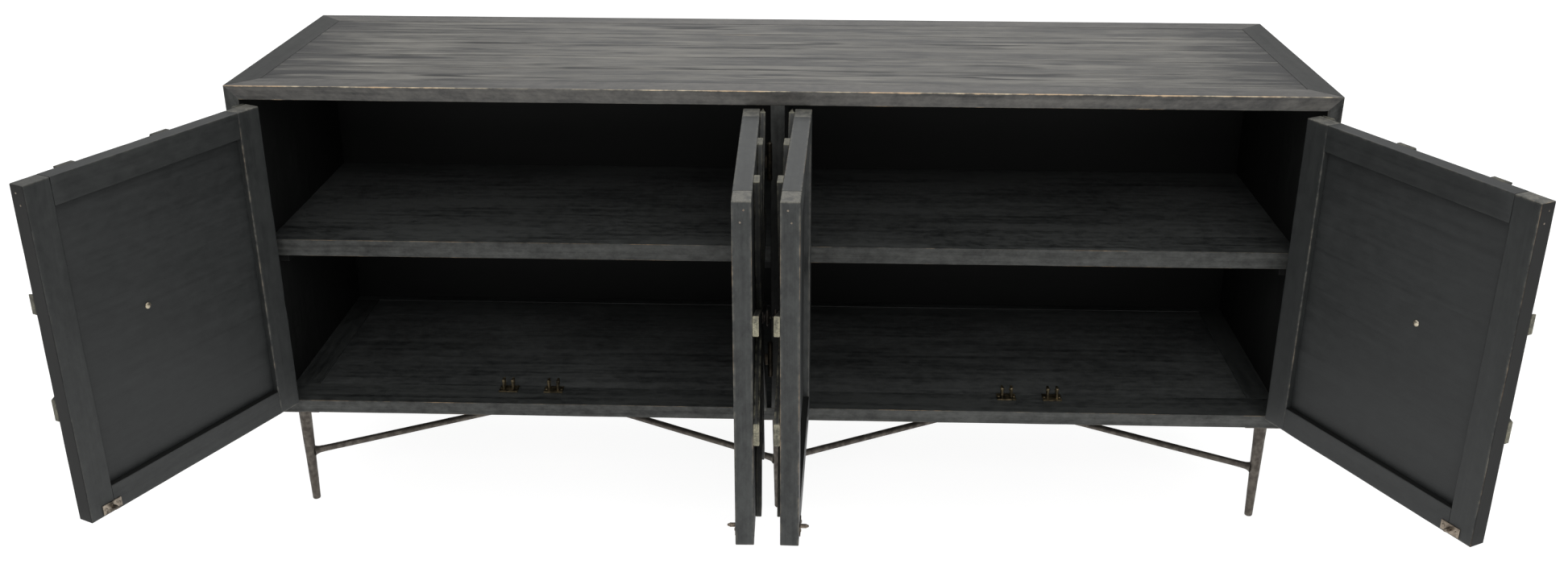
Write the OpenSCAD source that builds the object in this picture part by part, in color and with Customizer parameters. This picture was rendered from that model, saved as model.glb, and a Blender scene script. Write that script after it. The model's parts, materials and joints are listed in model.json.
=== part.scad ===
// Sideboard buffet: low four-door cabinet on tapered iron legs.
// Millimetres, +Z up, the front faces -Y. Doors are stored standing open.

/* [Cabinet] */
// overall width of the cabinet box
cab_w = 1830; // [1400:5:2200]
// depth of the cabinet box, front to back
cab_d = 504; // [400:1:600]
// height of the cabinet box without its legs
cab_h = 608; // [450:1:800]
// thickness of the top, side and bottom boards
board_t = 24; // [18:0.5:32]
// width of the border rails around the top
top_border = 46; // [30:1:90]
// number of planks laid inside the top's border
plank_count = 5; // [3:1:8]
// gap between two planks
plank_gap = 0.8; // [0.4:0.1:3]
// thickness of the upright divider between the two bays
divider_t = 24; // [18:0.5:32]

/* [Interior] */
// height of the shelf's upper face above the floor
shelf_z = 512; // [350:1:650]
// thickness of the shelf
shelf_t = 30; // [18:0.5:36]
// distance from the cabinet's front to the shelf's front edge
shelf_setback = 42; // [41:1:120]
// distance from the cabinet's front to the inner face of the back
back_y = 455; // [350:1:480]
// thickness of the back panel
back_t = 12; // [6:1:18]
// width of the front and rear rails of the bottom frame
bottom_rail = 66; // [40:1:100]
// how far the bottom panel lies below its frame
bottom_step = 1.5; // [0.5:0.5:6]

/* [Doors] */
// width of one door
door_w = 434; // [300:1:520]
// height of one door
door_h = 550; // [400:1:700]
// thickness of a door's frame
door_t = 28; // [20:0.5:34]
// width of the stiles and rails
stile_w = 44; // [35:1:80]
// how deep the panel lies below the frame on the inside
panel_recess = 10; // [4:1:16]
// gap below a door
gap_bottom = 6; // [2:0.5:10]
// gap between a door and the upright it hangs on
gap_hinge = 3; // [2:0.5:5]
// stored opening angle of the left outer door
open_left = 115.1; // [0:0.1:120]
// stored opening angle of the right outer door
open_right = 117.4; // [0:0.1:120]
// stored opening angle of the two middle doors
open_middle = 91.2; // [0:0.1:91.2]

/* [Overlay strips] */
// thickness of the strips that fan out from the pull
ray_t = 9; // [4:0.5:12]
// width of a strip
ray_w = 30; // [20:1:45]
// pull, measured across the door from the hinge side
pull_u = 262.5; // [150:0.5:350]
// pull, measured up from the door's lower edge
pull_z = 296; // [200:1:400]
// where the outer strip meets the upper and lower edges
ray_u_outer = 341.5; // [280:0.5:400]
// where the inner strip meets the upper and lower edges
ray_u_inner = 170.5; // [100:0.5:240]
// how far from mid-height the strips meet the upright edges
ray_v_side = 87.5; // [40:0.5:150]

/* [Hardware] */
// radius of a hinge knuckle
knuckle_r = 4.5; // [3.5:0.5:6]
// radius of a hinge pin
pin_r = 2; // [1.5:0.1:3]
// radial running clearance of a hinge pin
pin_play = 0.08; // [0.02:0.01:0.1]
// height of a hinge
hinge_h = 64; // [40:1:100]
// distance from a door's end to the middle of its nearer hinge
hinge_inset = 92; // [60:1:150]
// thickness of a hinge leaf
leaf_t = 1.3; // [0.8:0.1:2]
// depth of a hinge leaf
leaf_d = 24; // [15:1:30]
// radius of the pull knob's head
knob_r = 13; // [8:0.5:18]
// how far the knob stands in front of the strips
knob_out = 11.5; // [6:0.5:11.5]

/* [Base] */
// height of the legs
leg_h = 194; // [120:1:300]
// radius of a leg at the cabinet
leg_r_top = 11.2; // [8:0.1:18]
// radius of a leg at the floor
leg_r_foot = 7; // [5:0.1:12]
// distance of the corner legs from the cabinet's ends
leg_inset_x = 53; // [30:1:120]
// distance of the legs from the cabinet's front and back
leg_inset_y = 22; // [18:1:80]
// radius of the stretcher rods
rod_r = 6; // [4:0.5:10]
// height of the crossed rods above the floor
rod_z = 100; // [40:1:160]

/* [Hidden] */
$fn = 48;
total_h = leg_h + cab_h;
box_z = leg_h;
in_z0 = box_z + board_t;
in_z1 = total_h - board_t;
half_in = cab_w / 2 - board_t;
half_div = divider_t / 2;
pin_out = 2;                       // pin axis in front of the cabinet's face
pin_u = gap_hinge / 2;             // pin axis beside the door's edge
pin_n = knuckle_r + 1.5;           // pin axis in front of the strips
door_z = in_z0 + gap_bottom;
reach = pin_out + door_w + pin_u;  // how far a square-open door stands out
front_y = (reach - cab_d) / 2;     // brings the whole footprint to the middle
leaf_gap = 0.4;
doors = [ // hinge x, side it opens to, stored angle
    [-half_in + pin_u, 1, open_left], [-half_div - pin_u, -1, open_middle],
    [half_div + pin_u, 1, open_middle], [half_in - pin_u, -1, open_right]];
iron = [0.36, 0.33, 0.31];
paint = [0.20, 0.21, 0.21];
paint_in = [0.13, 0.14, 0.14];
worn = [0.33, 0.32, 0.31];
brass = [0.55, 0.42, 0.28];
eps = 0.01;

// ---- helpers -------------------------------------------------------------

// box from a low corner to a high corner
module span(lo, hi) { translate(lo) cube(hi - lo); }

// profile drawn in X and Z, run from y0 to y1
module along_y(pts, y0, y1)
    translate([0, y1, 0]) rotate([90, 0, 0]) linear_extrude(y1 - y0) polygon(pts);

// rectangular ring lying flat: front and back rails, then the side rails
module flat_ring(x0, x1, y0, y1, z0, z1, wx, wy) difference() {
    span([x0, y0, z0], [x1, y1, z1]);
    span([x0 + wx, y0 + wy, z0 - 1], [x1 - wx, y1 - wy, z1 + 1]);
}

// ---- cabinet box ---------------------------------------------------------

// border of the top, mitred down into the sides at both ends
module top_frame() color(paint) difference() {
    along_y([[-cab_w / 2, total_h], [cab_w / 2, total_h],
        [half_in, in_z1], [-half_in, in_z1]], 0, cab_d);
    span([-cab_w / 2 + top_border, top_border, in_z1 - 1],
        [cab_w / 2 - top_border, cab_d - top_border, total_h + 1]);
}

// planks inside the border, each running the length of the top
module top_planks() color(worn) {
    run = cab_d - 2 * top_border - plank_gap;
    pitch = run / plank_count;
    for (i = [0:plank_count - 1])
        span([-cab_w / 2 + top_border + plank_gap / 2,
            top_border + plank_gap / 2 + i * pitch + plank_gap / 2, in_z1],
            [cab_w / 2 - top_border - plank_gap / 2,
            top_border + plank_gap / 2 + (i + 1) * pitch - plank_gap / 2, total_h - 0.4]);
}

// side board with a mitred head, and mortises for the knuckles of its door
module side(s, d) color(paint) difference() {
    mirror([s < 0 ? 1 : 0, 0, 0])
        along_y([[half_in, box_z], [cab_w / 2, box_z],
            [cab_w / 2, total_h], [half_in, in_z1]], 0, cab_d);
    knuckle_room(d);
}
module side_left() side(-1, 0);
module side_right() side(1, 3);

// frame of the bottom: a ring, and a rail of the divider's width under it
module bottom_frame() color(paint) {
    flat_ring(-half_in, half_in, 0, cab_d, box_z, in_z0, top_border, bottom_rail);
    span([-half_div, bottom_rail, box_z], [half_div, cab_d - bottom_rail, in_z0]);
}

// one panel in each half of the bottom's frame
module bottom_panel() color(paint_in)
    for (x = [-half_in + top_border, half_div])
        span([x, bottom_rail, box_z + 6],
            [x + half_in - top_border - half_div, cab_d - bottom_rail, in_z0 - bottom_step]);

module divider() color(paint) difference() {
    span([-half_div, 0, in_z0], [half_div, back_y, in_z1]);
    knuckle_room(1);
    knuckle_room(2);
}

// frame behind the back panel, four rails and a middle stile
module back_frame() color(paint_in) difference() {
    span([-half_in, back_y + back_t, in_z0], [half_in, cab_d - 9, in_z1]);
    for (s = [-1, 1])
        span([s < 0 ? -half_in + 60 : 30, back_y, in_z0 + 60],
            [s < 0 ? -30 : half_in - 60, cab_d, in_z1 - 60]);
}
module back_panel() color(paint_in)
    span([-half_in, back_y, in_z0], [half_in, back_y + back_t, in_z1]);

module shelf(s) color(paint)
    span([s < 0 ? -half_in : half_div, shelf_setback, shelf_z - shelf_t],
        [s < 0 ? -half_div : half_in, back_y, shelf_z]);
module shelf_left() shelf(-1);
module shelf_right() shelf(1);

// battens under the shelves on the sides and the divider
module shelf_cleats() color(paint_in)
    for (x = [-half_in, -half_div - 18, half_div, half_in - 18])
        span([x, shelf_setback + 30, shelf_z - shelf_t - 24],
            [x + 18, back_y - 20, shelf_z - shelf_t]);

// ball catches on the front bottom rail: a foot and two jaws each
module catch_at(x) translate([x, 0, in_z0]) {
    span([-17, 42, 0], [17, 66, 2]);
    for (s = [-1, 1]) translate([s * 9.5, 0, 0]) {
        span([-4.5, 46, 2], [4.5, 62, 24]);
        translate([-s * 4.5, 54, 17]) sphere(r = 1.2);
    }
}
module catches() color(brass)
    for (d = doors) catch_at(d[0] + d[1] * (395.5 + pin_u));

// ---- base ----------------------------------------------------------------

leg_x = cab_w / 2 - leg_inset_x;
leg_yf = leg_inset_y;
leg_yb = cab_d - leg_inset_y;
function leg_r(z) = leg_r_foot + (leg_r_top - leg_r_foot) * z / leg_h;

module leg(x, y) color(iron) translate([x, y, 0]) {
    cylinder(h = 3, r1 = leg_r_foot - 1, r2 = leg_r(3));
    translate([0, 0, 3]) cylinder(h = leg_h - 4 - 3, r1 = leg_r(3), r2 = leg_r(leg_h - 4));
}
module leg_front_left() leg(-leg_x, leg_yf);
module leg_front_mid() leg(0, leg_yf);
module leg_front_right() leg(leg_x, leg_yf);
module leg_back_left() leg(-leg_x, leg_yb);
module leg_back_mid() leg(0, leg_yb);
module leg_back_right() leg(leg_x, leg_yb);

// rod from one leg to another, cut to the legs' skins
module rod(a, b, z) color(iron) {
    d = b - a;
    run = norm(d);
    difference() {
        translate([a[0], a[1], z]) rotate([0, 0, atan2(d[1], d[0])]) rotate([0, 90, 0])
            union() {
                translate([0, 0, 2]) cylinder(h = run - 4, r = rod_r);
                for (e = [0, 1]) translate([0, 0, e * run]) mirror([0, 0, e])
                    translate([0, 0, 2]) cylinder(h = leg_r(z) + 5, r1 = rod_r + 4.5, r2 = rod_r);
            }
        for (p = [a, b]) translate([p[0], p[1], 0])
            cylinder(h = leg_h, r1 = leg_r_foot, r2 = leg_r_top);
    }
}
// the rods cross in pairs: one runs through, the other is welded to it; the
// welds of a left and a right rod on one middle leg stop at its middle plane
module rod_side(s) span([s > 0 ? -30 : -0.05, -30, rod_z - 30],
    [s > 0 ? 0.05 : 30, cab_d + 30, rod_z + 30]);
module rod_through(s) difference() {
    rod([s * leg_x, leg_yf], [0, leg_yb], rod_z);
    rod_side(s);
}
module rod_halves(s) difference() {
    rod([0, leg_yf], [s * leg_x, leg_yb], rod_z);
    translate([s * leg_x, leg_yf, rod_z]) rotate([0, 0, atan2(leg_yb - leg_yf, -s * leg_x)])
        rotate([0, 90, 0]) cylinder(h = 2 * leg_x, r = rod_r);
    rod_side(s);
}
module rod_left_a() rod_through(-1);
module rod_left_b() rod_halves(-1);
module rod_right_a() rod_through(1);
module rod_right_b() rod_halves(1);

// plate on the head of each leg, with two screw heads below it
module leg_plates() color(iron)
    for (x = [-leg_x, 0, leg_x]) for (y = [leg_yf, leg_yb]) translate([x, y, box_z - 4]) {
        span([-32, -16, 0], [32, 16, 4]);
        for (s = [-1, 1]) translate([s * 23, 0, -2]) cylinder(h = 2 + eps, r1 = 3, r2 = 5);
    }

// ---- hinges --------------------------------------------------------------

hinge_zs = [door_z + hinge_inset, door_z + door_h - hinge_inset];
knuckle_h = hinge_h / 3;

// room for the knuckles of door d in the upright it hangs on
module knuckle_room(d) for (z = hinge_zs)
    translate([doors[d][0], -pin_out, z - hinge_h / 2 - 1])
        cylinder(h = hinge_h + 2, r = knuckle_r + 0.6);

// leaf on the upright, two outer knuckles and the pin, for a door opening to +X
module hinge_fixed_half() {
    m = knuckle_h / 2;
    difference() {
        union() {
            for (s = [-1, 1]) translate([0, 0, s * knuckle_h - m])
                cylinder(h = knuckle_h - 0.3, r = knuckle_r);
            span([-pin_u, 0, -hinge_h / 2], [-pin_u + leaf_t, leaf_d + pin_out, hinge_h / 2 - 0.3]);
        }
        translate([0, 0, -m - 0.3]) cylinder(h = knuckle_h + 0.3, r = knuckle_r + 0.5);
    }
    translate([0, 0, -hinge_h / 2 + 1]) cylinder(h = hinge_h - 2, r = pin_r);
    for (s = [0, 1]) mirror([0, 0, s]) translate([0, 0, hinge_h / 2 - 0.3 * (1 - s)])
        cylinder(h = 2, r1 = knuckle_r - 0.5, r2 = 2);
}
// leaf on the door and the middle knuckle, bored for the pin
module hinge_moving_half() {
    m = knuckle_h / 2;
    difference() {
        union() {
            translate([0, 0, -m]) cylinder(h = knuckle_h - 0.3, r = knuckle_r);
            span([pin_u - leaf_t, 0, -m], [pin_u, leaf_d + pin_out + 2, m - 0.3]);
            span([pin_u - leaf_t, 11, -hinge_h / 2], [pin_u, leaf_d + pin_out + 2, hinge_h / 2]);
        }
        translate([0, 0, -hinge_h / 2]) cylinder(h = hinge_h, r = pin_r + pin_play);
    }
}
module hinge_fixed(d) color(iron)
    for (z = hinge_zs) translate([doors[d][0], -pin_out, z])
        mirror([doors[d][1] < 0 ? 1 : 0, 0, 0]) hinge_fixed_half();
module hinge1_fixed() hinge_fixed(0);
module hinge2_fixed() hinge_fixed(1);
module hinge3_fixed() hinge_fixed(2);
module hinge4_fixed() hinge_fixed(3);

// ---- doors ---------------------------------------------------------------

// stands door d open about its pin; children are drawn closed, with the
// hinge edge at x = 0, the strips' face at y = 0 and the lower edge at z = 0
module hang(d) translate([doors[d][0], -pin_out, door_z])
    mirror([doors[d][1] < 0 ? 1 : 0, 0, 0]) rotate([0, 0, -doors[d][2]])
        translate([pin_u, pin_n, 0]) children();

door_y0 = ray_t;
door_y1 = ray_t + door_t;

module door_stiles(d) color(paint) hang(d)
    for (x = [0, door_w - stile_w])
        span([x, door_y0, 0], [x + stile_w, door_y1, door_h]);

module door_rails(d) color(paint) hang(d)
    for (z = [0, door_h - stile_w])
        span([stile_w, door_y0, z], [door_w - stile_w, door_y1, z + stile_w]);

module door_panel(d) color(paint_in) hang(d) difference() {
    span([stile_w, door_y0, stile_w],
        [door_w - stile_w, door_y1 - panel_recess, door_h - stile_w]);
    translate([pull_u, 0, pull_z]) rotate([-90, 0, 0]) cylinder(h = 60, r = 2.3);
}

// directions of the strips, counted round from the free edge, in degrees
ray_ends = [
    [door_w, door_h / 2 - ray_v_side], [door_w, door_h / 2 + ray_v_side],
    [ray_u_outer, door_h], [ray_u_inner, door_h], [0, door_h],
    [0, door_h / 2 + ray_v_side], [0, door_h / 2 - ray_v_side],
    [0, 0], [ray_u_inner, 0], [ray_u_outer, 0]];
pull = [pull_u, pull_z];
ray_n = len(ray_ends);
ray_a = [for (i = [0:ray_n - 1])
    let (p = ray_ends[i] - pull, a = atan2(p[1], p[0])) i > 0 && a < 0 ? a + 360 : a];

// where the line from p along angle a meets the door's outline
function to_edge(p, a) = let (c = cos(a), s = sin(a),
    tx = (c > 0 ? door_w - p[0] : -p[0]) / (abs(c) < 1e-6 ? 1e-6 : c),
    tz = (s > 0 ? door_h - p[1] : -p[1]) / (abs(s) < 1e-6 ? 1e-6 : s))
    p + min(tx, tz) * [c, s];
// a strip's edge lies half a strip's width to one side of its middle line
function side_start(a, s) = pull + s * ray_w / 2 * [-sin(a), cos(a)];
// valley between strip i and the next one round
function valley(i) = let (a = ray_a[i], b = ray_a[(i + 1) % ray_n] + (i == ray_n - 1 ? 360 : 0))
    pull + ray_w / 2 / sin((b - a) / 2) * [cos((a + b) / 2), sin((a + b) / 2)];
function at_corner(p) = (p[0] == 0 || p[0] == door_w) && (p[1] == 0 || p[1] == door_h);
ray_outline = [for (i = [0:ray_n - 1]) each concat(
    [to_edge(side_start(ray_a[i], -1), ray_a[i])],
    at_corner(ray_ends[i]) ? [ray_ends[i]] : [],
    [to_edge(side_start(ray_a[i], 1), ray_a[i]), valley(i)])];

// the fan of strips, mitred together at the pull and cut flush with the door
module door_rays(d) color(worn) hang(d) difference() {
    translate([0, ray_t, 0]) rotate([90, 0, 0]) linear_extrude(ray_t) polygon(ray_outline);
    translate([pull_u, -1, pull_z]) rotate([-90, 0, 0]) cylinder(h = 60, r = 2.3);
}

module door_knob(d) color(iron) hang(d) translate([pull_u, 0, pull_z]) rotate([90, 0, 0])
    difference() {
        rotate_extrude() polygon([[0, 0], [9, 0], [9, 1.5], [5, 3], [5, knob_out - 7],
            [knob_r - 2, knob_out - 5.5], [knob_r, knob_out - 3.5],
            [knob_r - 1.5, knob_out - 1.2], [knob_r - 5, knob_out - 0.2], [0, knob_out]]);
        translate([0, 0, -1]) cylinder(h = 7, r = 2.1);
    }

module door_screw(d) color([0.62, 0.58, 0.50]) hang(d)
    translate([pull_u, door_y1 - panel_recess, pull_z]) rotate([-90, 0, 0]) {
        difference() {
            cylinder(h = 2.4, r1 = 5.2, r2 = 3.6);
            span([-0.6, -6, 1.4], [0.6, 6, 3]);
        }
        translate([0, 0, -(door_y1 - panel_recess) - 5]) cylinder(h = door_y1 - panel_recess + 5 + eps, r = 2);
    }

// plate, tongue and two screws on the inside of the door's free foot corner
module door_strike(d) color(brass) hang(d) translate([395.5, door_y1, 11]) {
    span([-17, 0, -8], [17, 1.6, 8]);
    span([-2, 1, -3], [2, 10, 3]);
    translate([0, 9, 0]) rotate([-90, 0, 0]) cylinder(h = 5, r1 = 3, r2 = 1.2);
    for (s = [-1, 1]) translate([s * 12, 1.6 - eps, 0]) rotate([-90, 0, 0])
        cylinder(h = 1.2, r1 = 2.8, r2 = 1.8);
}

module door_hinge(d) color(iron)
    for (z = hinge_zs) translate([doors[d][0], -pin_out, z])
        mirror([doors[d][1] < 0 ? 1 : 0, 0, 0]) rotate([0, 0, -doors[d][2]]) hinge_moving_half();

module door1_stiles() door_stiles(0);
module door1_rails() door_rails(0);
module door1_panel() door_panel(0);
module door1_rays() door_rays(0);
module door1_knob() door_knob(0);
module door1_screw() door_screw(0);
module door1_strike() door_strike(0);
module door1_hinge() door_hinge(0);
module door2_stiles() door_stiles(1);
module door2_rails() door_rails(1);
module door2_panel() door_panel(1);
module door2_rays() door_rays(1);
module door2_knob() door_knob(1);
module door2_screw() door_screw(1);
module door2_strike() door_strike(1);
module door2_hinge() door_hinge(1);
module door3_stiles() door_stiles(2);
module door3_rails() door_rails(2);
module door3_panel() door_panel(2);
module door3_rays() door_rays(2);
module door3_knob() door_knob(2);
module door3_screw() door_screw(2);
module door3_strike() door_strike(2);
module door3_hinge() door_hinge(2);
module door4_stiles() door_stiles(3);
module door4_rails() door_rails(3);
module door4_panel() door_panel(3);
module door4_rays() door_rays(3);
module door4_knob() door_knob(3);
module door4_screw() door_screw(3);
module door4_strike() door_strike(3);
module door4_hinge() door_hinge(3);

// ---- assembly ------------------------------------------------------------

translate([0, front_y, 0]) {
    top_frame();
    top_planks();
    side_left();
    side_right();
    bottom_frame();
    bottom_panel();
    divider();
    back_frame();
    back_panel();
    shelf_left();
    shelf_right();
    shelf_cleats();
    catches();
    leg_front_left();
    leg_front_mid();
    leg_front_right();
    leg_back_left();
    leg_back_mid();
    leg_back_right();
    rod_left_a();
    rod_left_b();
    rod_right_a();
    rod_right_b();
    leg_plates();
    hinge1_fixed();
    hinge2_fixed();
    hinge3_fixed();
    hinge4_fixed();
    door1_stiles();
    door1_rails();
    door1_panel();
    door1_rays();
    door1_knob();
    door1_screw();
    door1_strike();
    door1_hinge();
    door2_stiles();
    door2_rails();
    door2_panel();
    door2_rays();
    door2_knob();
    door2_screw();
    door2_strike();
    door2_hinge();
    door3_stiles();
    door3_rails();
    door3_panel();
    door3_rays();
    door3_knob();
    door3_screw();
    door3_strike();
    door3_hinge();
    door4_stiles();
    door4_rails();
    door4_panel();
    door4_rays();
    door4_knob();
    door4_screw();
    door4_strike();
    door4_hinge();
}
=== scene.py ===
"""Sideboard buffet: a low four-door cabinet of rubbed black timber on tapered iron legs."""
import json
import math

import bpy
import numpy as np
from mathutils import Matrix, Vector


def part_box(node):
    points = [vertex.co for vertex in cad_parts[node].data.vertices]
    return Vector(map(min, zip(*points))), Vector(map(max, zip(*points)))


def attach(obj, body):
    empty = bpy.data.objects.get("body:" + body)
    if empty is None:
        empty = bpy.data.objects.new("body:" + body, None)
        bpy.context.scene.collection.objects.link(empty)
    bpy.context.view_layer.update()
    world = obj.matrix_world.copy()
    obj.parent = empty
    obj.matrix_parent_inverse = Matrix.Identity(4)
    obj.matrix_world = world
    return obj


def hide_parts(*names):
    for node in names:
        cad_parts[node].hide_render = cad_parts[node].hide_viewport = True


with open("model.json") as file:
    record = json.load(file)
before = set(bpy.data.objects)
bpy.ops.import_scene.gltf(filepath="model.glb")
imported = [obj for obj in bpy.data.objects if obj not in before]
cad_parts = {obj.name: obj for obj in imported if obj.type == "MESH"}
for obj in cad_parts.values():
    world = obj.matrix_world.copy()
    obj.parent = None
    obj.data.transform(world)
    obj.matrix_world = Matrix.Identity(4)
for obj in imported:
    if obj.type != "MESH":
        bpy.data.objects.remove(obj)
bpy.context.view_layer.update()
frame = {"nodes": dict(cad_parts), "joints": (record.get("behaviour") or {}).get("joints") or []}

# ---------------------------------------------------------------- the studio
# A pale seamless floor that runs out to a white room, lit by the room itself
# and by soft boxes: one above and behind that lays a sheen on the top, one
# above the front for the doors.

def linear(code):
    """sRGB hex text to linear colour: each channel under 0.04 is divided by 12.92, and
    above it is raised to the power 2.4."""
    c = np.array([int(code[i:i + 2], 16) for i in (1, 3, 5)]) / 255
    c = np.where(c <= 0.04045, c / 12.92, ((c + 0.055) / 1.055) ** 2.4)
    return (*c.tolist(), 1.0)


def add(tree, kind, feeds=None, give=0, **settings):
    """Adds one shader node of a kind: feeds maps an input to a socket that drives it or a
    value that it holds, settings are its own properties, and the socket named give comes back."""
    node = tree.nodes.new("ShaderNode" + kind)
    for key, value in settings.items():
        setattr(node, key, value)
    for key, value in (feeds or {}).items():
        if isinstance(value, bpy.types.NodeSocket):
            tree.links.new(value, node.inputs[key])
        else:
            node.inputs[key].default_value = value
    return node.outputs[give] if node.outputs else node


def new_finish(name):
    """An empty material with its output node, ready for a shader."""
    m = bpy.data.materials.new(name)
    m.use_nodes = True
    m.node_tree.nodes.clear()
    return m, m.node_tree


def mesh_piece(name, verts, quads, finish, smooth=True):
    """A mesh object from whole arrays of points and four-sided faces; a face whose last two
    corners are the same point is a triangle."""
    quads = np.asarray(quads, np.int64)
    tri = quads[:, 2] == quads[:, 3]
    sizes = np.where(tri, 3, 4)
    loops = quads[np.stack([np.ones_like(tri), np.ones_like(tri), np.ones_like(tri), ~tri], 1)]
    mesh = bpy.data.meshes.new(name)
    mesh.vertices.add(len(verts))
    mesh.vertices.foreach_set("co", np.ascontiguousarray(verts, np.float32).ravel())
    mesh.loops.add(len(loops))
    mesh.loops.foreach_set("vertex_index", loops.astype(np.int32))
    mesh.polygons.add(len(sizes))
    starts = np.concatenate([[0], np.cumsum(sizes)[:-1]]).astype(np.int32)
    mesh.polygons.foreach_set("loop_start", starts)
    mesh.polygons.foreach_set("loop_total", sizes.astype(np.int32))
    mesh.polygons.foreach_set("use_smooth", np.full(len(sizes), smooth))
    mesh.update(calc_edges=True)
    mesh.validate()
    mesh.materials.append(finish)
    obj = bpy.data.objects.new(name, mesh)
    bpy.context.scene.collection.objects.link(obj)
    return obj


# white acrylic lit from below: even and pale, with only faint shadows on it
acrylic, tree = new_finish("backlit_acrylic_floor")
shade = add(tree, "BsdfPrincipled", {"Base Color": linear("#868685"), "Roughness": 1.0,
                                     "Specular IOR Level": 0.0,
                                     "Emission Color": linear("#ffffff"), "Emission Strength": 0.9})
add(tree, "OutputMaterial", {"Surface": shade})
far = 40.0
floor = mesh_piece("studio_floor", np.array([[-far, -far, 0], [far, -far, 0], [far, far, 0], [-far, far, 0]]),
                   [[0, 1, 2, 3]], acrylic, smooth=False)

world = bpy.data.worlds.new("white_room")
bpy.context.scene.world = world
world.use_nodes = True
# the room is bright overhead and dimmer level with the cabinet
way = add(world.node_tree, "SeparateXYZ", {0: add(world.node_tree, "TexCoord", give="Generated")}, "Z")
world.node_tree.links.new(add(world.node_tree, "MapRange", {0: way, 1: 0.05, 2: 0.8, 3: 0.26, 4: 1.0}),
                          world.node_tree.nodes["Background"].inputs["Strength"])
world.node_tree.nodes["Background"].inputs["Color"].default_value = linear("#ffffff")

sun = bpy.data.objects.new("overhead_silk", bpy.data.lights.new("overhead_silk", "SUN"))
sun.data.energy = 0.8
sun.data.angle = math.radians(70)
sun.rotation_euler = (math.radians(-22), math.radians(6), 0)
bpy.context.scene.collection.objects.link(sun)

for name, place, turn, size, watts in (
        ("back_softbox", (0.1, 3.2, 2.5), (math.radians(-60), 0, 0), (2.6, 1.3), 8),
        ("front_softbox", (0.5, -3.6, 3.2), (math.radians(48), 0, math.radians(8)), (2.6, 1.6), 44)):
    box = bpy.data.objects.new(name, bpy.data.lights.new(name, "AREA"))
    box.data.shape = "RECTANGLE"
    box.data.size, box.data.size_y = size
    box.data.energy = watts
    box.location, box.rotation_euler = place, turn
    box.visible_camera = False
    bpy.context.scene.collection.objects.link(box)

camera = bpy.data.objects.new("camera", bpy.data.cameras.new("camera"))
camera.data.sensor_width = 36
camera.data.lens = 33.126
camera.data.shift_x, camera.data.shift_y = -0.00331, -0.02822
camera.matrix_world = (Matrix.Translation((0.0857, -2.3009, 1.4593))
                       @ Matrix.Rotation(math.radians(1.679), 4, "Z")
                       @ Matrix.Rotation(math.radians(68.053), 4, "X")
                       @ Matrix.Rotation(math.radians(0.14), 4, "Z"))
bpy.context.scene.collection.objects.link(camera)
bpy.context.scene.camera = camera
bpy.context.scene.view_settings.view_transform = "Standard"

# ------------------------------------------------- the border round the top
# Four lengths of solid softwood, mitred flat at the corners and mitred down
# into the sides, painted black and rubbed back so that the arrises show the
# bare tan wood in a thin broken line.

MM = 0.001  # sizes are in millimetres from here on


def ripple(x, seed, pitch):
    """Slow hand-worked unevenness between 0 and 1: three sines of pitches near the given
    one, with phases drawn from the seed."""
    rng = np.random.default_rng(seed)
    p = rng.uniform(0, 2 * np.pi, 3)
    k = 2 * np.pi / (pitch * np.array([1.0, 0.43, 0.19]))
    w = np.array([0.5, 0.3, 0.2])
    return 0.5 + 0.5 * sum(w[i] * np.sin(k[i] * x + p[i]) for i in range(3))


def tube_faces(rings, around):
    """Faces of a tube whose rings of points follow one another. Ring i meets ring i + 1, each
    point meets the next one round, and the two points after the last ring close the ends."""
    i, j = np.meshgrid(np.arange(rings - 1), np.arange(around), indexing="ij")
    a, b = i * around + j, i * around + (j + 1) % around
    walls = np.stack([a, b, b + around, a + around], 2).reshape(-1, 4)
    j = np.arange(around)
    j2, top, middle = (j + 1) % around, (rings - 1) * around, 0 * j + rings * around
    return np.vstack([walls, np.stack([j2, j, middle, middle], 1),
                      np.stack([top + j, top + j2, middle + 1, middle + 1], 1)])


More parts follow.
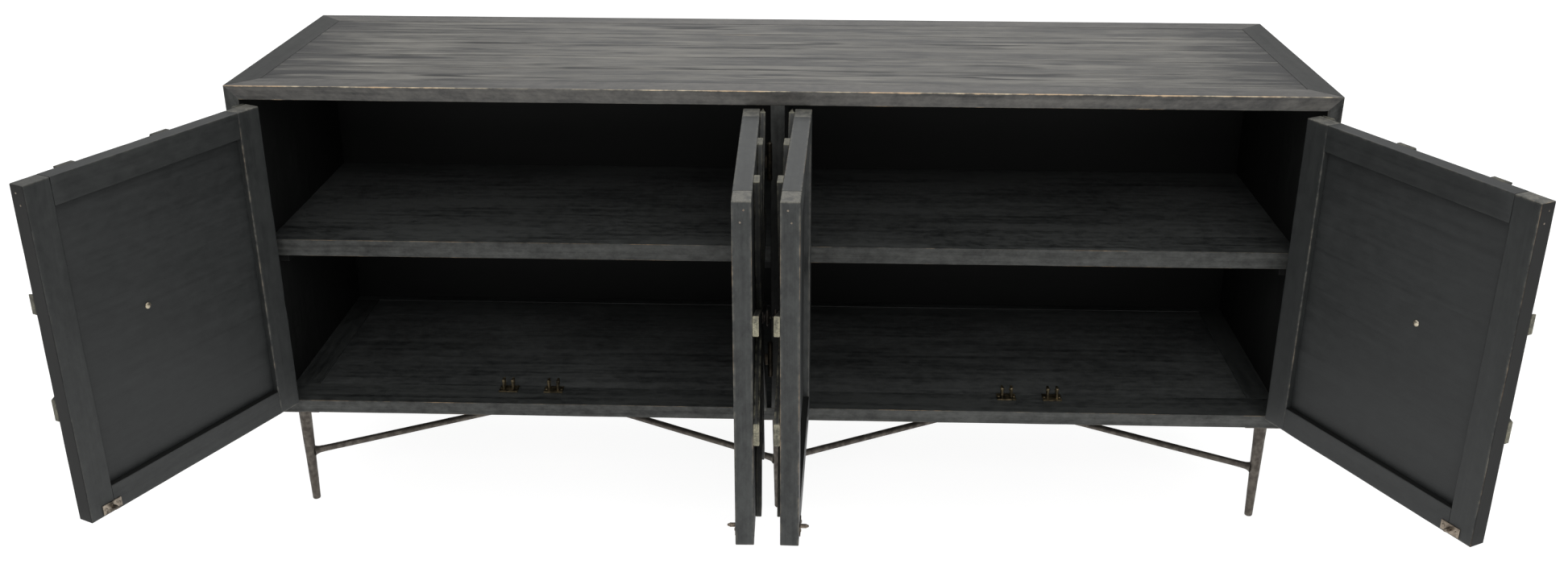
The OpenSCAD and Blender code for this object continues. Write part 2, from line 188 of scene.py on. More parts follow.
def board(lo, hi, grain, soft=1.6, soft_end=1.2, seed=1, wear=1.0, joint=(), warp=None, dents=4,
          rub=1.0, shy=(), look=0, dark=()):
    """A sawn board between two corners in millimetres, with its grain along one axis.
    A rounded rectangle is carried along the grain. Its corner radius follows the worn
    arris, swelling where the edge was knocked, its faces dip by part of a millimetre, and
    both ends are rounded by shrinking the rectangle along a quarter circle and closing it
    on its middle. Sides named in joint are glued to a neighbour and take no wear, those
    named in shy take less, and rub says how far the paint is thinned all over. Faces take
    the finish numbered look, and those on the sides named in dark the one numbered 1."""
    lo, hi = np.array(lo, float), np.array(hi, float)
    order = {"x": (0, 1, 2), "y": (1, 2, 0), "z": (2, 0, 1)}[grain]
    size = (hi - lo)[list(order)]
    length, wide, thick = size
    soft = min(soft, thick * 0.3)
    soft_end = min(soft_end, length * 0.2, thick * 0.3)
    rng = np.random.default_rng(seed)
    # stations along the grain: two flat cap rings, a rounded end, the run, and back
    phi = np.linspace(0, np.pi / 2, 4)
    run = np.linspace(0, 1, max(4, int(length / 22)) + 1)
    inner = length / 2 - soft_end
    x = np.concatenate([[-length / 2] * 2, -length / 2 + soft_end * (1 - np.cos(phi)),
                        -inner + 2 * inner * run[1:-1], length / 2 - soft_end * (1 - np.cos(phi[::-1])),
                        [length / 2] * 2])
    shrink = np.concatenate([[soft_end] * 2, soft_end * (1 - np.sin(phi)), 0 * run[1:-1],
                             soft_end * (1 - np.sin(phi[::-1])), [soft_end] * 2])
    squeeze = np.ones(len(x))
    squeeze[[0, -1]] = 0.45
    squeeze[[1, -2]] = 0.97
    # round the rectangle: four arcs, and points along the flats, closer by the arrises
    arc = np.linspace(0, np.pi / 2, 5)
    flat_w = np.array([0.04, 0.28, 0.72, 0.96])
    if wide > 150:
        flat_w = np.array([0.02, 0.1, 0.3, 0.5, 0.7, 0.9, 0.98])
    flat_t = np.array([0.06, 0.94])
    sy, sz, ang, cor = [], [], [], []
    for k, (a, b) in enumerate(((1, 1), (-1, 1), (-1, -1), (1, -1))):
        ang += list(arc + k * np.pi / 2)
        n = len(arc)
        sy += [a] * n
        sz += [b] * n
        cor += [k] * n
        if k % 2 == 0:
            f, (na, nb) = flat_w, (-a, b)
        else:
            f, (na, nb) = flat_t, (a, -b)
        ang += [(k + 1) * np.pi / 2] * len(f)
        sy += list(a + (na - a) * f)
        sz += list(b + (nb - b) * f)
        cor += [k] * len(f)
    ang, sy, sz, cor = (np.array(v) for v in (ang, sy, sz, cor))
    # arris radius at each station and corner
    r = np.stack([soft * (0.6 + 0.8 * ripple(x, seed * 7 + k, 210)) for k in range(4)], 1)
    for _ in range(dents):
        k, at = rng.integers(0, 4), rng.uniform(-inner, inner)
        r[:, k] += rng.uniform(0.3, 1.3) * np.exp(-((x - at) / rng.uniform(5, 22)) ** 2)
    r = np.minimum(r, 0.34 * thick)
    rc = r[:, cor]
    eff = np.maximum(rc - shrink[:, None], 0)
    # faces dip a little between the arrises
    on_flat = 1 - np.clip(np.abs(sy * sz)[None, :], 0, 1)
    dip = 0.35 * ripple(x, seed + 31, 330)[:, None] * on_flat
    cy = np.maximum(wide / 2 - np.maximum(rc, shrink[:, None]), 0) * sy
    cz = np.maximum(thick / 2 - np.maximum(rc, shrink[:, None]), 0) * sz
    y = (cy + (eff - dip) * np.cos(ang)) * squeeze[:, None]
    z = (cz + (eff - dip) * np.sin(ang)) * squeeze[:, None]
    rings, around = len(x), len(ang)
    pts = np.stack([np.repeat(x[:, None], around, 1), y, z], 2).reshape(-1, 3)
    pts = np.vstack([pts, [[-length / 2, 0, 0], [length / 2, 0, 0]]])
    quads = tube_faces(rings, around)
    # what the finish reads: place on the board, and how far its free sides are. A glued side
    # is put 15 mm further off, out of the worn arris's reach, and a shy one 0.6 mm
    glued, spared, on_face = 15, 0.6, 0.8
    half = size / 2
    mid = np.zeros(3)
    half_free = half.copy()
    for side in joint:
        axis = order.index("xyz".index(side[0]))
        half_free[axis] += glued
        mid[axis] += glued if side[1] == "+" else -glued
    for side in shy:
        axis = order.index("xyz".index(side[0]))
        half_free[axis] += spared
        mid[axis] += spared if side[1] == "+" else -spared
    local = pts - mid
    finish = np.full(len(quads), look, np.int32)
    for side in dark:
        axis, sign = order.index("xyz".index(side[0])), 1 if side[1] == "+" else -1
        finish[(sign * pts[quads, axis]).min(1) > half[axis] - on_face] = 1
    out = np.empty_like(pts)
    out[:, list(order)] = pts
    out += (lo + hi) / 2
    if warp:
        out = warp(out)
    count = len(pts)
    return {"co": out, "quads": quads, "on_board": local * MM,
            "half_board": np.tile(half_free * MM, (count, 1)),
            "lot": np.full(count, rng.uniform(0, 1)), "wear": np.full(count, float(wear)),
            "rub": np.full(count, float(rub)), "look": finish}


def stacked(parts, place):
    """Points in metres and faces of several parts given in millimetres, moved by a 4 x 4
    matrix if there is one, and turned the right way out if it mirrors them."""
    starts = np.cumsum([0] + [len(co) for co, _ in parts])
    co = np.vstack([co for co, _ in parts]) * MM
    quads = np.vstack([faces + start for (_, faces), start in zip(parts, starts)])
    if place is not None:
        m = np.array(place)
        co = co @ m[:3, :3].T + m[:3, 3]
        if np.linalg.det(m[:3, :3]) < 0:
            tri = quads[:, 2] == quads[:, 3]
            quads = np.where(tri[:, None], quads[:, [1, 0, 2, 3]], quads[:, [3, 2, 1, 0]])
    return co, quads


def joined(boards, name, finish, body, nodes, place=None, other=None):
    """One riding piece from several boards. Each point keeps its place on its own board for
    the finish to read, and faces marked 1 take the other finish."""
    piece = mesh_piece(name, *stacked([(b["co"], b["quads"]) for b in boards], place), finish)
    for key in ("on_board", "half_board", "lot", "wear", "rub"):
        data = np.concatenate([b[key] for b in boards]).astype(np.float32)
        kind, field = ("FLOAT_VECTOR", "vector") if data.ndim == 2 else ("FLOAT", "value")
        piece.data.attributes.new(key, kind, "POINT").data.foreach_set(field, data.ravel())
    if other:
        piece.data.materials.append(other)
        piece.data.polygons.foreach_set("material_index", np.concatenate([b["look"] for b in boards]))
    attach(piece, body)
    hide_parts(*nodes)
    return piece


def rubbed_paint(name, coat, rubbed, wood, end, streak, bare_mm, rough, figure=0.15, gloss=0.42):
    """Black paint on a board, rubbed back by hand. Streaks run with the grain, cloudy
    patches are thinner, the end grain drinks more, and the bare wood shows where the
    distance to the nearest arris is less than a width that wanders along the edge."""
    m, t = new_finish(name)
    on = add(t, "Attribute", give="Vector", attribute_name="on_board")
    half = add(t, "Attribute", give="Vector", attribute_name="half_board")
    lot = add(t, "Attribute", give="Fac", attribute_name="lot")
    wear = add(t, "Attribute", give="Fac", attribute_name="wear")
    rub = add(t, "Attribute", give="Fac", attribute_name="rub")
    w = add(t, "Math", {0: lot, 1: 91.0}, operation="MULTIPLY")

    # distance to the nearest arris, in mm: the middle one of the three distances to a side
    side = add(t, "VectorMath", {0: half, 1: add(t, "VectorMath", {0: on}, operation="ABSOLUTE")},
               operation="SUBTRACT")
    sep = add(t, "SeparateXYZ", {0: side}).node.outputs
    lowest = add(t, "Math", {0: add(t, "Math", {0: sep[0], 1: sep[1]}, operation="MINIMUM"), 1: sep[2]},
                 operation="MINIMUM")
    highest = add(t, "Math", {0: add(t, "Math", {0: sep[0], 1: sep[1]}, operation="MAXIMUM"), 1: sep[2]},
                  operation="MAXIMUM")
    total = add(t, "Math", {0: add(t, "Math", {0: sep[0], 1: sep[1]}, operation="ADD"), 1: sep[2]},
                operation="ADD")
    d = add(t, "Math", {0: add(t, "Math", {0: total, 1: lowest}, operation="SUBTRACT"), 1: highest},
            operation="SUBTRACT")
    d = add(t, "Math", {0: d, 1: 1000.0}, operation="MULTIPLY")

    # streaks 400 mm long and, to show at a few metres, 10 mm wide where the real ones are 3;
    # finer brush lines over them, and cloudy patches of 100 to 250 mm
    along = add(t, "Mapping", {0: on, "Scale": (2.4, 95.0, 95.0)})
    streaks = add(t, "TexNoise", {"Vector": along, "W": w, "Scale": 1.0, "Detail": 5.0, "Roughness": 0.62},
                  noise_dimensions="4D")
    fine = add(t, "Mapping", {0: on, "Scale": (9.0, 620.0, 620.0)})
    lines = add(t, "TexNoise", {"Vector": fine, "W": w, "Scale": 1.0, "Detail": 3.0, "Roughness": 0.7},
                noise_dimensions="4D")
    cloud = add(t, "TexNoise", {"Vector": add(t, "Mapping", {0: on, "Scale": (4.0, 11.0, 11.0)}),
                                "W": w, "Scale": 1.0, "Detail": 3.0, "Roughness": 0.55},
                noise_dimensions="4D")
    thin = add(t, "MapRange", {0: cloud, 1: 0.36, 2: 0.68, 3: 0.0, 4: 1.0})
    drawn = add(t, "MapRange", {0: streaks, 1: 0.36, 2: 0.70, 3: 0.0, 4: 1.0})
    brushed = add(t, "MapRange", {0: lines, 1: 0.3, 2: 0.75, 3: 0.0, 4: 1.0})
    blend = add(t, "Math", {0: add(t, "Math", {0: thin, 1: 0.45}, operation="MULTIPLY"),
                            1: add(t, "Math", {0: drawn, 1: 0.55}, operation="MULTIPLY")},
                operation="ADD")
    blend = add(t, "Math", {0: brushed, 1: 0.22, 2: blend}, operation="MULTIPLY_ADD")
    # dabs of the rag, 10 to 20 mm across
    dabs = add(t, "TexNoise", {"Vector": add(t, "Mapping", {0: on, "Scale": (45.0, 80.0, 80.0)}), "W": w,
                               "Scale": 1.0, "Detail": 5.0, "Roughness": 0.72}, noise_dimensions="4D")
    blend = add(t, "Math", {0: add(t, "MapRange", {0: dabs, 1: 0.34, 2: 0.68, 3: -0.3, 4: 0.45}), 1: blend},
                operation="ADD")
    blend = add(t, "Math", {0: blend, 1: add(t, "Math", {0: rub, 1: streak}, operation="MULTIPLY")},
                operation="MULTIPLY")

    # the arris: bare in a width that wanders, with a paler rubbed band beside it
    nib = add(t, "TexNoise", {"Vector": on, "W": w, "Scale": 70.0, "Detail": 4.0, "Roughness": 0.6},
              noise_dimensions="4D")
    roam = add(t, "TexNoise", {"Vector": on, "W": w, "Scale": 7.0, "Detail": 2.0, "Roughness": 0.5},
               noise_dimensions="4D")
    width = add(t, "MapRange", {0: roam, 1: 0.36, 2: 0.64, 3: 0.3 * bare_mm, 4: bare_mm})
    width = add(t, "Math", {0: width, 1: wear}, operation="MULTIPLY")
    ragged = add(t, "Math", {0: width, 1: add(t, "MapRange", {0: nib, 1: 0.3, 2: 0.7, 3: 0.45, 4: 1.35})},
                 operation="MULTIPLY")
    bare = add(t, "Math", {0: add(t, "Math", {0: ragged, 1: d}, operation="SUBTRACT"), 1: 1.1},
               operation="DIVIDE", use_clamp=True)
    band = add(t, "MapRange", {0: d, 1: 0.6, 2: 4.2, 3: 0.6, 4: 0.0})
    band = add(t, "Math", {0: band, 1: add(t, "MapRange", {0: nib, 1: 0.42, 2: 0.66, 3: 0.0, 4: 1.0})},
               operation="MULTIPLY")
    band = add(t, "Math", {0: band, 1: wear}, operation="MULTIPLY")
    end_mm = add(t, "Math", {0: sep[0], 1: 1000.0}, operation="MULTIPLY")
    is_end = add(t, "MapRange", {0: end_mm, 1: 0.8, 2: 2.2, 3: 1.0, 4: 0.0})
    pores = add(t, "TexNoise", {"Vector": on, "Scale": 420.0, "Detail": 3.0, "Roughness": 0.7})
    is_end = add(t, "Math", {0: is_end, 1: add(t, "MapRange", {0: pores, 1: 0.3, 2: 0.65, 3: 0.35, 4: 1.0})},
                 operation="MULTIPLY")
    is_end = add(t, "Math", {0: is_end, 1: add(t, "MapRange", {0: dabs, 1: 0.4, 2: 0.56, 3: 0.3, 4: 1.0})},
                 operation="MULTIPLY")
    is_end = add(t, "Math", {0: is_end, 1: wear}, operation="MULTIPLY", use_clamp=True)

    sunk = add(t, "MapRange", {0: streaks, 1: 0.30, 2: 0.42, 3: figure, 4: 0.0})
    colour = add(t, "Mix", {0: blend, 6: linear(coat), 7: linear(rubbed)}, 2, data_type="RGBA")
    colour = add(t, "Mix", {0: sunk, 6: colour, 7: linear("#141414")}, 2, data_type="RGBA")
    colour = add(t, "Mix", {0: band, 6: colour, 7: linear(end)}, 2, data_type="RGBA")
    colour = add(t, "Mix", {0: is_end, 6: colour, 7: linear(end)}, 2, data_type="RGBA")
    raw = add(t, "Mix", {0: add(t, "MapRange", {0: roam, 1: 0.5, 2: 0.58, 3: 0.0, 4: 0.6}), 6: linear(wood),
                         7: linear("#a27c56")}, 2, data_type="RGBA")
    colour = add(t, "Mix", {0: bare, 6: colour, 7: raw}, 2, data_type="RGBA")
    roughness = add(t, "MapRange", {0: blend, 1: 0.0, 2: 1.0, 3: rough, 4: rough + 0.12})
    height = add(t, "Math", {0: lines, 1: 0.35, 2: streaks}, operation="MULTIPLY_ADD")
    height = add(t, "Math", {0: bare, 1: -0.4, 2: height}, operation="MULTIPLY_ADD")
    bump = add(t, "Bump", {"Height": height, "Strength": 0.5, "Distance": 0.0004})
    shade = add(t, "BsdfPrincipled", {"Base Color": colour, "Roughness": roughness, "Normal": bump,
                                      "Specular IOR Level": gloss})
    add(t, "OutputMaterial", {"Surface": shade})
    return m


# thin black milk paint waxed and rubbed: charcoal with a dull bloom, tan at the arrises
black_paint = rubbed_paint("rubbed_black_paint", "#242524", "#50514f", "#c9b08c", "#5a5954", streak=0.8,
                           bare_mm=2.0, rough=0.55, figure=0.3, gloss=0.25)
# the same paint made dead black as painted shade: inside the cabinet, on the doors' recess edges, the outer
# doors' free edges and the divider's sides
shaded_black_paint = rubbed_paint("black_paint_inside_painted_shade", "#0b0c0b", "#171817", "#4d463c", "#1c1c1b",
                           streak=0.8, bare_mm=1.0, rough=0.62, gloss=0.3)
# the same paint where hands and cloths have thinned it: smoky, streaked, a cream arris; paler than the end
# rails' paint, whose darkness is painted shade
border_paint = rubbed_paint("thinned_black_paint_border", "#282828", "#5e5c58", "#d9c8a9", "#66645d",
                            streak=0.9, bare_mm=2.0, rough=0.45, figure=0.6)

top_lo, top_hi = (np.array(v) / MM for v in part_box("top_frame"))
planks_lo, planks_hi = (np.array(v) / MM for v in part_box("top_planks"))
rail = round(planks_lo[0] - top_lo[0] - 0.4)
x0, y0, z0 = top_lo
x1, y1, z1 = top_hi


def waterfall(co):
    """Shortens a long rail by the larger of its distance from the outer edge and its depth
    below the top, so that it meets the end rails and the sides at 45 degrees."""
    out = co.copy()
    edge = np.minimum(co[:, 1] - y0, y1 - co[:, 1])
    cut = np.maximum(np.clip(edge, 0, rail), z1 - co[:, 2])
    out[:, 0] = co[:, 0] * (1 - cut / x1)
    return out


def end_mitre(co):
    """Cuts an end rail square to the mitres: its length shrinks with the distance from the
    outer edge, and below the top its outer face leans inwards at 45 degrees."""
    out = co.copy()
    inset = x1 - np.abs(co[:, 0])
    mid, run = (y0 + y1) / 2, (y1 - y0) / 2
    out[:, 1] = mid + (co[:, 1] - mid) * (1 - inset / run)
    lean = (z1 - co[:, 2]) * (rail - inset) / rail
    out[:, 0] = np.sign(co[:, 0]) * (np.abs(co[:, 0]) - lean)
    return out


joined([board((x0, y0, z0), (x1, y0 + rail, z1), "x", soft=1.3, soft_end=0.2, seed=11, wear=1.1,
              joint=("x-", "x+", "y+"), warp=waterfall, dents=9, shy=("z-",)),
        board((x0, y1 - rail, z0), (x1, y1, z1), "x", soft=1.3, soft_end=0.2, seed=12, wear=0.8,
              joint=("x-", "x+", "y-"), warp=waterfall, dents=5),
        # the end rails take the darker black paint and less rubbing than the long ones: painted shade, where
        # the top's sheen does not fall
        board((x0, y0, z0), (x0 + rail, y1, z1), "y", soft=1.0, soft_end=0.2, seed=13, wear=0.5,
              joint=("y-", "y+", "x+"), warp=end_mitre, rub=0.35, look=1),
        board((x1 - rail, y0, z0), (x1, y1, z1), "y", soft=1.0, soft_end=0.2, seed=14, wear=0.5,
              joint=("y-", "y+", "x-"), warp=end_mitre, rub=0.35, look=1)],
       "top_border", border_paint, "cabinet", ["top_frame"], other=black_paint)

# ------------------------------------------------------ the planks of the top
# Five reclaimed planks laid side by side inside the border, wire-brushed, stained
# and painted thin, then sanded through, so that the figure shows as long dark
# lines in a smoky grey with a dull shine.


def brushed_planks():
    """Streaked grey top: long soft bands, near-black growth lines where the soft wood was
    brushed out, paler rubbed islands, and dirt in the joints between the planks."""
    m, t = new_finish("wire_brushed_smoked_planks")
    on = add(t, "Attribute", give="Vector", attribute_name="on_board")
    half = add(t, "Attribute", give="Vector", attribute_name="half_board")
    lot = add(t, "Attribute", give="Fac", attribute_name="lot")
    w = add(t, "Math", {0: lot, 1: 53.0}, operation="MULTIPLY")
    # the figure drifts sideways by a few millimetres, as rift-sawn grain does
    drift = add(t, "TexNoise", {"Vector": add(t, "Mapping", {0: on, "Scale": (3.0, 14.0, 14.0)}),
                                "W": w, "Scale": 1.0, "Detail": 1.0}, noise_dimensions="4D")
    push = add(t, "Math", {0: drift, 1: 0.016}, operation="MULTIPLY")
    bent = add(t, "VectorMath", {0: on, 1: add(t, "CombineXYZ", {1: push})}, operation="ADD")
    # bands are 6 to 12 mm wide; these are 18 mm, because the top is seen at a low angle
    bands = add(t, "TexNoise", {"Vector": add(t, "Mapping", {0: bent, "Scale": (2.8, 56.0, 10.0)}),
                                "W": w, "Scale": 1.0, "Detail": 8.0, "Roughness": 0.68},
                noise_dimensions="4D")
    # fibres are 0.5 mm wide; these are drawn 4 mm wide, so that they show at a metre or two
    fibre = add(t, "TexNoise", {"Vector": add(t, "Mapping", {0: bent, "Scale": (11.0, 240.0, 40.0)}),
                                "W": w, "Scale": 1.0, "Detail": 5.0, "Roughness": 0.7}, noise_dimensions="4D")
    cloud = add(t, "TexNoise", {"Vector": add(t, "Mapping", {0: on, "Scale": (11.0, 42.0, 11.0)}),
                                "W": w, "Scale": 1.0, "Detail": 6.0, "Roughness": 0.75},
                noise_dimensions="4D")
    tone = add(t, "MapRange", {0: bands, 1: 0.34, 2: 0.66, 3: 0.0, 4: 1.0})
    for grain, much in ((cloud, 1.5), (fibre, 1.8)):
        tone = add(t, "Math", {0: grain, 1: much, 2: add(t, "Math", {0: tone, 1: 0.5 * much},
                                                         operation="SUBTRACT")}, operation="MULTIPLY_ADD")
    # dark growth lines: where a slow drawn-out noise passes its middle value, broken up
    veins = add(t, "TexNoise", {"Vector": add(t, "Mapping", {0: bent, "Scale": (1.7, 30.0, 8.0)}),
                                "W": add(t, "Math", {0: w, 1: 7.7}, operation="ADD"), "Scale": 1.0,
                                "Detail": 4.0, "Roughness": 0.45}, noise_dimensions="4D")
    off = add(t, "Math", {0: add(t, "Math", {0: veins, 1: 0.5}, operation="SUBTRACT")}, operation="ABSOLUTE")
    dark = add(t, "MapRange", {0: off, 1: 0.02, 2: 0.055, 3: 1.0, 4: 0.0})
    gate = add(t, "TexNoise", {"Vector": add(t, "Mapping", {0: on, "Scale": (3.5, 24.0, 8.0)}), "W": w,
                               "Scale": 1.0, "Detail": 3.0, "Roughness": 0.6}, noise_dimensions="4D")
    dark = add(t, "Math", {0: dark, 1: add(t, "MapRange", {0: gate, 1: 0.5, 2: 0.6, 3: 0.0, 4: 1.0})},
               operation="MULTIPLY")
    # joints between planks: dirt in the gap, and the arris rubbed pale in places
    sep = add(t, "SeparateXYZ", {0: add(t, "VectorMath", {
        0: half, 1: add(t, "VectorMath", {0: on}, operation="ABSOLUTE")}, operation="SUBTRACT")}).node.outputs
    d = add(t, "Math", {0: add(t, "Math", {0: sep[0], 1: sep[1]}, operation="MINIMUM"), 1: 1000.0},
            operation="MULTIPLY")
    roam = add(t, "TexNoise", {"Vector": on, "W": w, "Scale": 5.0, "Detail": 3.0, "Roughness": 0.6},
               noise_dimensions="4D")
    # the last 150 mm by the end borders is darkened: painted shade, where the sheen on the top falls off
    # towards the ends
    near = add(t, "MapRange", {0: sep[0], 1: 0.0, 2: 0.15, 3: -0.5, 4: 0.0})
    tone = add(t, "Math", {0: tone, 1: near}, operation="ADD", use_clamp=True)
    gate = add(t, "MapRange", {0: roam, 1: 0.62, 2: 0.70, 3: 0.0, 4: 0.8})
    pale = add(t, "Math", {0: add(t, "MapRange", {0: d, 1: 0.6, 2: 1.9, 3: 1.0, 4: 0.0}), 1: gate},
               operation="MULTIPLY")
    grime = add(t, "MapRange", {0: d, 1: 0.3, 2: 1.4, 3: 1.0, 4: 0.0})
    grime = add(t, "Math", {0: grime, 1: add(t, "MapRange", {0: roam, 1: 0.4, 2: 0.56, 3: 0.1, 4: 0.8})},
                operation="MULTIPLY")
    colour = add(t, "Mix", {0: tone, 6: linear("#191918"), 7: linear("#716f69")}, 2, data_type="RGBA")
    colour = add(t, "Mix", {0: dark, 6: colour, 7: linear("#111111")}, 2, data_type="RGBA")
    colour = add(t, "Mix", {0: grime, 6: colour, 7: linear("#1a1a1a")}, 2, data_type="RGBA")
    colour = add(t, "Mix", {0: pale, 6: colour, 7: linear("#a8957a")}, 2, data_type="RGBA")
    height = add(t, "Math", {0: veins, 1: 1.0, 2: add(t, "Math", {0: fibre, 1: 0.35}, operation="MULTIPLY")},
                 operation="MULTIPLY_ADD")
    bump = add(t, "Bump", {"Height": height, "Strength": 0.8, "Distance": 0.0009})
    roughness = add(t, "MapRange", {0: tone, 1: 0.0, 2: 1.0, 3: 0.38, 4: 0.58})
    shade = add(t, "BsdfPrincipled", {"Base Color": colour, "Roughness": roughness, "Normal": bump,
                                      "Specular IOR Level": 0.36})
    add(t, "OutputMaterial", {"Surface": shade})
    return m


smoked_planks = brushed_planks()
plank_count, plank_gap = 5, 0.8
pitch = (planks_hi[1] - planks_lo[1] + plank_gap) / plank_count
joined([board((planks_lo[0], planks_lo[1] + k * pitch, z0),
              (planks_hi[0], planks_lo[1] + (k + 1) * pitch - plank_gap, planks_hi[2]),
              "x", soft=0.35, soft_end=0.3, seed=20 + k, wear=0.5, dents=3) for k in range(plank_count)],
       "top_plank_boards", smoked_planks, "cabinet", ["top_planks"])

# ------------------------------------------------------------- the two sides
# Wide solid boards that stand under the mitre of the top, painted like the
# border. Their front edges are the frame of the door openings.


def head_mitre(co):
    """Raises the head of a side board from the inner face to the outer one, at 45 degrees."""
    out = co.copy()
    inset = x1 - np.abs(co[:, 0])
    low = box_z
    out[:, 2] = low + (co[:, 2] - low) * (1 - inset / (z1 - low))
    return out


for name, sign in (("side_left", -1), ("side_right", 1)):
    lo, hi = (np.array(v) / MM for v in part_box(name))
    box_z = lo[2]
    # the inner face takes the darker paint: painted shade inside the cabinet
    joined([board(lo, hi, "z", soft=1.3, soft_end=0.4, seed=31 + sign, wear=0.8, joint=("z+",),
                  warp=head_mitre, dents=7, rub=1.2, dark=("x+" if sign < 0 else "x-",))],
           name + "_board", black_paint, "cabinet", [name], other=shaded_black_paint)

# ----------------------------------------------------------------- the inside
# Back, bottom, divider, shelves and battens. The same paint, made darker on the
# walls and back as painted shade and paler on the shelves and floor as painted
# light; the shelves' front arrises are worn pale.

# on the shelves and the floor things were slid about: streaked, with a soft shine, and paler than the walls
# as painted light on the level boards
streaked_and_lit_floor_paint = rubbed_paint("rubbed_black_paint_shelves_painted_light", "#242626", "#4b4d4c", "#b3ada0", "#55544f",
                           streak=1.1, bare_mm=1.3, rough=0.44, figure=0.35, gloss=0.45)
# the rails round the floor: the same paint made darker, painted shade
shaded_rail_paint = rubbed_paint("black_paint_floor_rails_painted_shade", "#1c1e1e", "#3a3c3b", "#b3ada0", "#55544f",
                          streak=1.1, bare_mm=1.3, rough=0.44, figure=0.35)

# the back and its frame take the darker paint: painted shade at the back of the cabinet
lo, hi = (np.array(v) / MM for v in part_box("back_panel"))
joined([board(lo, hi, "x", soft=0.5, soft_end=0.5, seed=41, wear=0.2, joint=("x-", "x+", "z-", "z+"),
              dents=0)],
       "back_board", shaded_black_paint, "cabinet", ["back_panel"])

lo, hi = (np.array(v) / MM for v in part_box("back_frame"))
back_rail, half_stile = 60, 30
joined([board(lo, (lo[0] + back_rail, hi[1], hi[2]), "z", soft=1.2, soft_end=0.8, seed=42, wear=0.6),
        board((hi[0] - back_rail, lo[1], lo[2]), hi, "z", soft=1.2, soft_end=0.8, seed=43, wear=0.6),
        board((-half_stile, lo[1], lo[2] + back_rail), (half_stile, hi[1], hi[2] - back_rail), "z",
              soft=1.2, soft_end=0.8, seed=44, wear=0.6, joint=("z-", "z+")),
        board((lo[0] + back_rail, lo[1], lo[2]), (hi[0] - back_rail, hi[1], lo[2] + back_rail), "x",
              soft=1.2, soft_end=0.8, seed=45, wear=0.6, joint=("x-", "x+")),
        board((lo[0] + back_rail, lo[1], hi[2] - back_rail), (hi[0] - back_rail, hi[1], hi[2]), "x",
              soft=1.2, soft_end=0.8, seed=46, wear=0.6, joint=("x-", "x+"))],
       "back_frame_boards", shaded_black_paint, "cabinet", ["back_frame"])

div_lo, div_hi = (np.array(v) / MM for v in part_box("divider"))
# both sides take the darker paint: painted shade between the doors
joined([board(div_lo, div_hi, "z", soft=1.0, soft_end=0.5, seed=47, wear=0.3, joint=("z-", "z+"), dents=5,
              rub=0.8, dark=("x-", "x+"))],
       "divider_board", black_paint, "cabinet", ["divider"], other=shaded_black_paint)

lo, hi = (np.array(v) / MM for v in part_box("bottom_frame"))
panel_lo, panel_hi = (np.array(v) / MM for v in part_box("bottom_panel"))
deep, end_w = panel_lo[1] - lo[1], panel_lo[0] - lo[0]
# the rails' tops take the darker rail paint, painted shade; the front board's front face takes the plain
# black paint
joined([board(lo, (hi[0], lo[1] + deep, hi[2]), "x", soft=1.0, soft_end=0.3, seed=51, wear=0.45,
              joint=("x-", "x+", "y+"), dents=6, rub=1.15, dark=("y-",)),
        board((lo[0], hi[1] - deep, lo[2]), hi, "x", soft=1.0, soft_end=0.3, seed=52, wear=0.5,
              joint=("x-", "x+", "y-")),
        board((lo[0], lo[1] + deep, lo[2]), (lo[0] + end_w, hi[1] - deep, hi[2]), "y", soft=1.0,
              soft_end=0.4, seed=53, wear=0.3, joint=("x-", "x+", "y-", "y+")),
        board((hi[0] - end_w, lo[1] + deep, lo[2]), (hi[0], hi[1] - deep, hi[2]), "y", soft=1.0,
              soft_end=0.4, seed=54, wear=0.3, joint=("x-", "x+", "y-", "y+")),
        board((div_lo[0], lo[1] + deep, lo[2]), (div_hi[0], hi[1] - deep, hi[2]), "y", soft=0.8,
              soft_end=0.4, seed=55, wear=0.3, joint=("x-", "x+", "y-", "y+"))],
       "bottom_frame_boards", shaded_rail_paint, "cabinet", ["bottom_frame"], other=black_paint)
# the floor panels take the paler shelf paint: painted light on the level boards
joined([board((a, panel_lo[1] + 0.2, panel_lo[2]), (b, panel_hi[1] - 0.2, panel_hi[2]), "x", soft=0.5,
              soft_end=0.4, seed=56 + k, wear=0.3, joint=("x-", "x+", "y-", "y+"), dents=0, rub=0.9)
        for k, (a, b) in enumerate(((panel_lo[0], div_lo[0]), (div_hi[0], panel_hi[0])))],
       "bottom_panel_boards", streaked_and_lit_floor_paint, "cabinet", ["bottom_panel"])

for s, name in enumerate(("shelf_left", "shelf_right")):
    lo, hi = (np.array(v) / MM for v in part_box(name))
    # the top takes the paler shelf paint, painted light on the level face, and the front the plain black
    # paint
    joined([board(lo, hi, "x", soft=1.0, soft_end=0.3, seed=65 + s * 4, wear=0.45, joint=("x-", "x+", "y+"),
                  rub=1.1, dark=("y-",))],
           name + "_board", streaked_and_lit_floor_paint, "cabinet", [name], other=black_paint)

# the battens take the darker paint too: painted shade inside the cabinet
lo, hi = (np.array(v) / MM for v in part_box("shelf_cleats"))
batten = 18
joined([board((x, lo[1], lo[2]), (x + batten, hi[1], hi[2]), "y", soft=1.0, soft_end=0.8, seed=75 + k,
              wear=0.4)
        for k, x in enumerate((lo[0], div_lo[0] - batten, div_hi[0], hi[0] - batten))],
       "shelf_battens", shaded_black_paint, "cabinet", ["shelf_cleats"])

# ------------------------------------------------------------------ the doors
# Each is a frame of two stiles and two rails round a thin panel, flush outside
# and sunk 10 mm inside. Ten flat strips fan out over the front from an iron pull.

